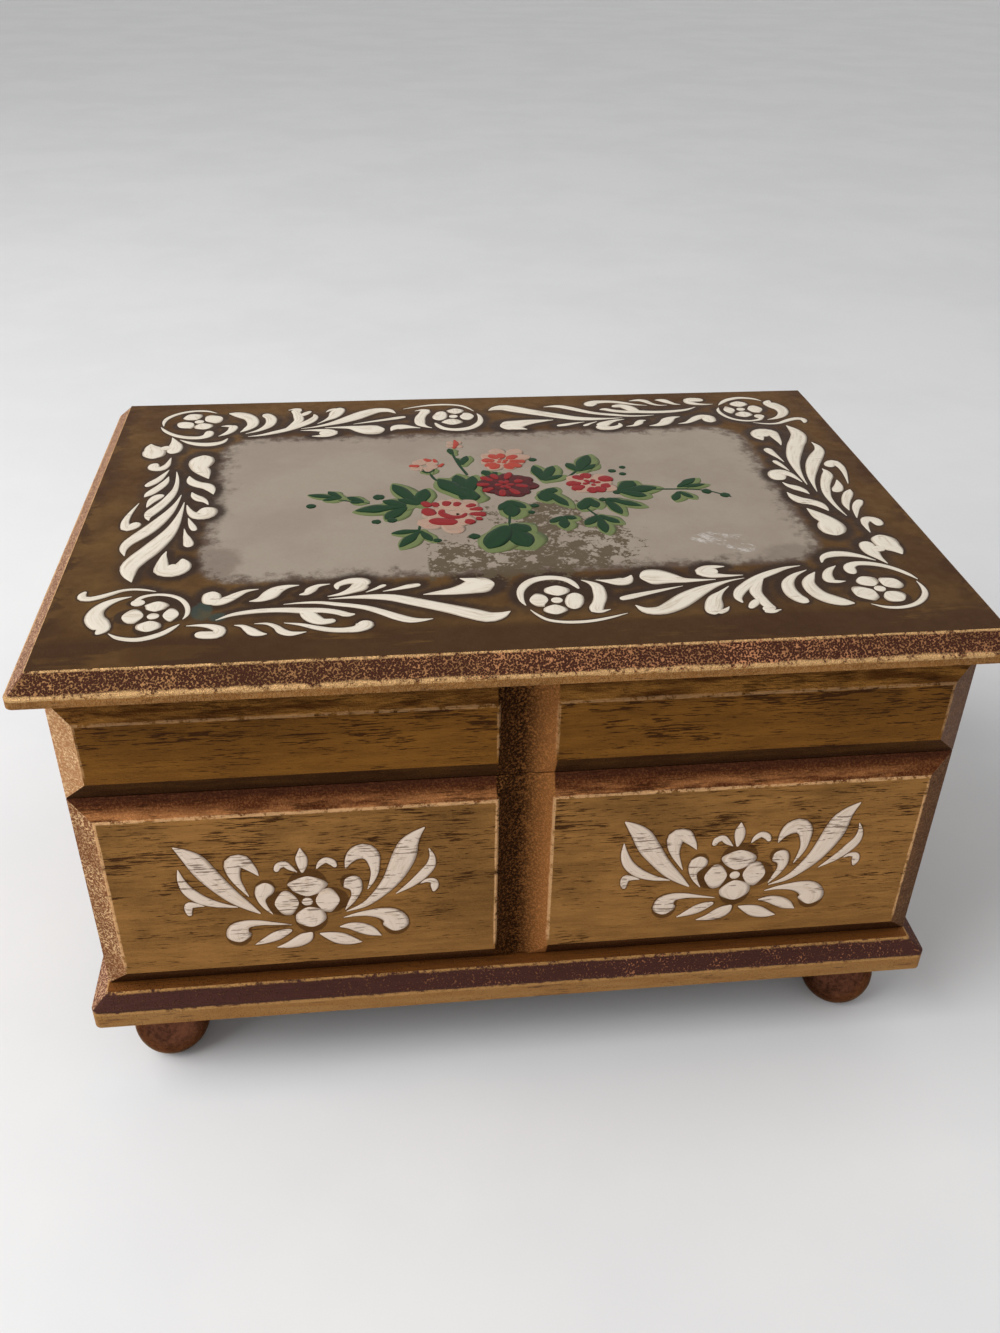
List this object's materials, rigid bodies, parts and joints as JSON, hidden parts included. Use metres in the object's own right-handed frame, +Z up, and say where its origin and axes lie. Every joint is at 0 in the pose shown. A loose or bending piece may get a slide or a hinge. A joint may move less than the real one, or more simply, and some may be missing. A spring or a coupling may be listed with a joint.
{
  "type": "musical jewellery box",
  "caption": "Gilded wooden music box for jewellery: moulded lid on hinges with a mirror inside, divided tray, sliding drawer, wind-up comb movement, ball feet.",
  "frame": {"origin": "on the floor under the middle of the lid, which is the widest and deepest piece", "axes": "+Z up, +X to the right seen from the front, the drawer front faces -Y"},
  "size_m": [0.24, 0.171, 0.146],
  "materials": {
    "gilt_wood": "antiqued gold paint, satin",
    "painted_lid": "antiqued gold and taupe paint, satin",
    "bronzed_wood": "copper bronze lacquer, gloss",
    "bare_wood": "plain waxed",
    "plywood": "plain",
    "velvet": "short pile",
    "mirror": "silvered glass",
    "brass": "polished",
    "steel": "brushed"
  },
  "bodies": {
    "case": {"base_board": "gilt_wood", "foot_front_left": "bronzed_wood", "foot_front_right": "bronzed_wood", "foot_rear_left": "bronzed_wood", "foot_rear_right": "bronzed_wood", "left_side_panel": "gilt_wood", "right_side_panel": "gilt_wood", "back_panel": "gilt_wood", "upper_front_board": "gilt_wood", "front_top_rail": "gilt_wood", "tray_floor": "plywood", "rod_guide": "bare_wood", "tray_lining": "velvet", "tray_rail": "bare_wood", "tray_dividers": "bare_wood", "ring_roll_1": "velvet", "ring_roll_2": "velvet", "ring_roll_3": "velvet", "ring_roll_4": "velvet", "well_partition": "plywood", "drawer_runners": "bare_wood", "hinge_case_leaf_left": "brass", "hinge_case_leaf_right": "brass", "hinge_case_screws": "brass", "hinge_pins": "steel", "movement_bedplate": "brass", "movement_screws": "steel", "barrel_bridge": "steel", "comb": "steel", "comb_screws": "steel", "governor_frame": "brass", "rod_bracket": "brass", "rod_bracket_screws": "brass", "rod_spring": "steel"},
    "drawer": {"drawer_front": "gilt_wood", "drawer_left_side": "bare_wood", "drawer_right_side": "bare_wood", "drawer_back": "bare_wood", "drawer_bottom": "plywood", "drawer_lining": "velvet", "drawer_divider": "bare_wood"},
    "lid": {"lid_board": "painted_lid", "lid_lining": "velvet", "mirror": "mirror", "mirror_frame": "gilt_wood", "hinge_lid_leaf_left": "brass", "hinge_lid_leaf_right": "brass", "hinge_lid_screws": "brass"},
    "key": {"winding_arbor": "steel", "winding_key": "brass"},
    "barrel": {"spring_barrel": "brass", "barrel_cap": "brass", "mainspring": "steel"},
    "cylinder": {"cylinder_arbor": "steel", "music_cylinder": "brass"},
    "train": {"train_arbor": "steel"},
    "governor": {"governor_worm": "steel", "fly": "brass"},
    "stop_rod": {"stop_rod": "brass"}
  },
  "joints": [
    {"name": "lid_hinge", "type": "hinge", "parent": "case", "child": "lid", "pos_m": [0, 0.0819, 0.13885], "axis": [-1, 0, 0], "range_deg": [0, 105]},
    {"name": "drawer_slide", "type": "slide", "parent": "case", "child": "drawer", "axis": [0, -1, 0], "range_m": [0, 0.08]},
    {"name": "key_turn", "type": "hinge", "parent": "case", "child": "key", "pos_m": [-0.054, 0.054, 0.04], "axis": [0, 0, -1], "continuous": true},
    {"name": "barrel_turn", "type": "hinge", "parent": "case", "child": "barrel", "pos_m": [-0.054, 0.054, 0.04], "axis": [0, 0, 1], "continuous": true},
    {"name": "cylinder_turn", "type": "hinge", "parent": "case", "child": "cylinder", "pos_m": [-0.076, 0.054, 0.0473], "axis": [1, 0, 0], "continuous": true},
    {"name": "train_turn", "type": "hinge", "parent": "case", "child": "train", "pos_m": [-0.088, 0.06216, 0.0473], "axis": [1, 0, 0], "continuous": true},
    {"name": "governor_turn", "type": "hinge", "parent": "case", "child": "governor", "pos_m": [-0.09, 0.0673, 0.05], "axis": [0, 0, 1], "continuous": true},
    {"name": "stop_rod_lift", "type": "slide", "parent": "case", "child": "stop_rod", "axis": [0, 0, 1], "range_m": [0, 0.0041], "deforming": ["rod_spring"]}
  ],
  "couplings": [
    {"joint": "cylinder_turn", "follows": "barrel_turn", "ratio": -3},
    {"joint": "train_turn", "follows": "barrel_turn", "ratio": 9},
    {"joint": "governor_turn", "follows": "barrel_turn", "ratio": -72},
    {"joint": "stop_rod_lift", "follows": "lid_hinge", "m_per_rad": 0.0021827}
  ]
}
